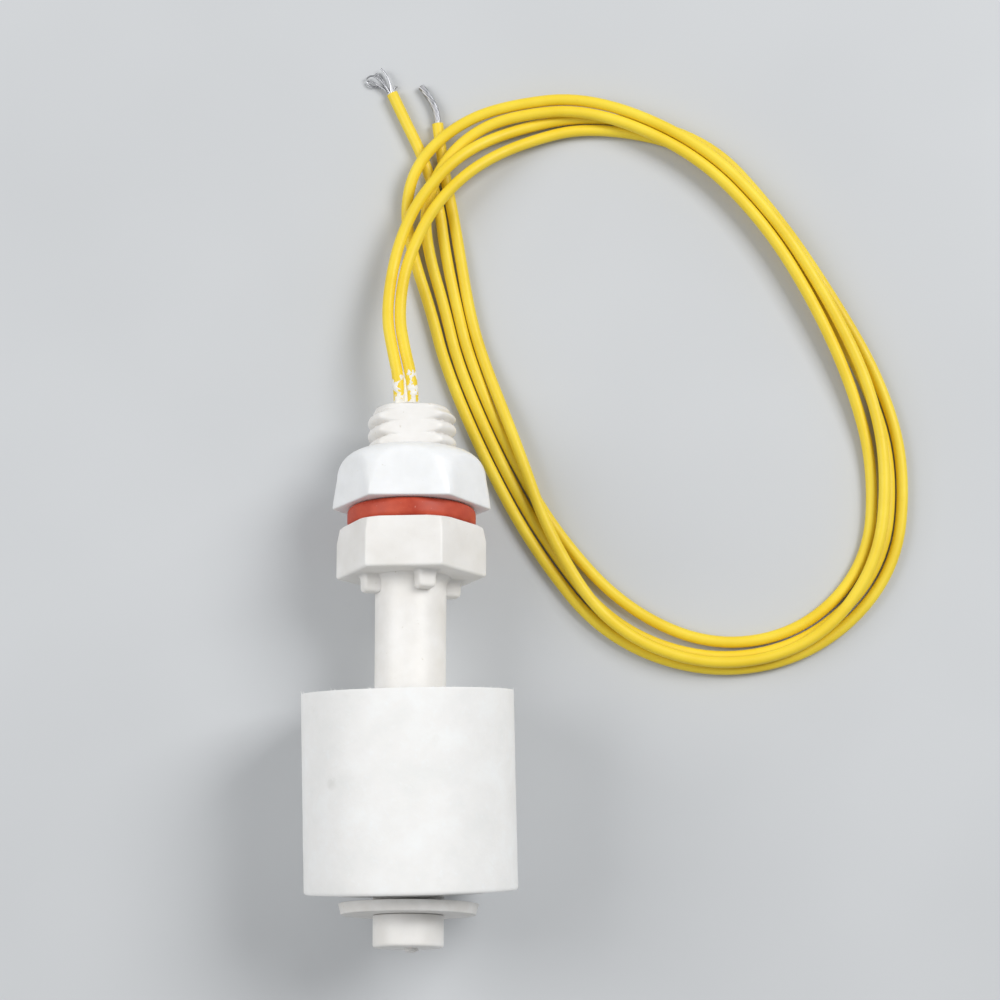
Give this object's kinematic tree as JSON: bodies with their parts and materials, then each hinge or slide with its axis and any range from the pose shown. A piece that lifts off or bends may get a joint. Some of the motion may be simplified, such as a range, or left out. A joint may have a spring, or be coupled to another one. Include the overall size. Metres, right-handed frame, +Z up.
{
  "type": "float level switch",
  "caption": "Side or bottom mounted float level switch: a plastic stem with a sliding magnetic float, hexagonal flange, threaded spigot, gasket, nut and loose wires",
  "frame": {"origin": "Centre of the underside of the bounding box of the switch without its wires, on the floor the switch lies on.", "axes": "+Z is up from the floor, +Y runs along the switch from the float end towards the cable end, +X is to the right seen from above with the cable end away. The stem leans 6.1 degrees down towards +Y, because it lies loose in its float."},
  "size_m": [0.0685, 0.1016, 0.0233],
  "materials": {
    "stem_plastic": "natural polypropylene, moulded, soft sheen",
    "nut_plastic": "natural polypropylene, moulded, soft sheen",
    "gasket_rubber": "red silicone rubber, smooth",
    "clip_plastic": "natural polypropylene, moulded",
    "float_foam": "foamed polypropylene, faintly mottled",
    "magnet_ferrite": "sintered ferrite, dull grey",
    "reed_glass": "clear greenish glass",
    "reed_metal": "plated nickel-iron",
    "solder": "solder, soft metallic",
    "sleeve_plastic": "thin insulating sleeve",
    "potting_resin": "cast resin, milky",
    "wire_insulation": "soft yellow insulation, satin",
    "tinned_copper": "tinned copper strands"
  },
  "bodies": {
    "stem": {"stem_body": "stem_plastic", "retaining_clip": "clip_plastic", "reed_glass": "reed_glass", "reed_blade_a": "reed_metal", "reed_blade_b": "reed_metal", "lead_sleeve": "sleeve_plastic", "solder_joint_a": "solder", "solder_joint_b": "solder", "wire_end_a": "wire_insulation", "wire_end_b": "wire_insulation", "potting": "potting_resin", "wire_a": "wire_insulation", "wire_b": "wire_insulation", "conductor_a": "tinned_copper", "conductor_b": "tinned_copper"},
    "gasket_ring": {"gasket": "gasket_rubber"},
    "nut": {"mounting_nut": "nut_plastic"},
    "magnet_carriage": {"float_magnet": "magnet_ferrite"},
    "float": {"float_shell": "float_foam", "float_cap": "float_foam"}
  },
  "joints": [
    {"name": "nut_turn", "type": "hinge", "parent": "stem", "child": "gasket_ring", "pos_m": [0, 0.01617, 0.00845], "axis": [0, 0.9944, -0.1061], "range_deg": [0, 1081]},
    {"name": "nut_advance", "type": "slide", "parent": "gasket_ring", "child": "nut", "axis": [0, 0.9944, -0.1061], "range_m": [0, 0.0045]},
    {"name": "float_slide", "type": "slide", "parent": "stem", "child": "magnet_carriage", "axis": [0, 0.9944, -0.1061], "range_m": [0, 0.01]},
    {"name": "float_spin", "type": "hinge", "parent": "magnet_carriage", "child": "float", "pos_m": [0, -0.0129, 0.01165], "axis": [-0.0227, 0.9997, 0], "continuous": true}
  ],
  "couplings": [
    {"joint": "nut_turn", "follows": "nut_advance", "rad_per_m": 4188.8}
  ]
}
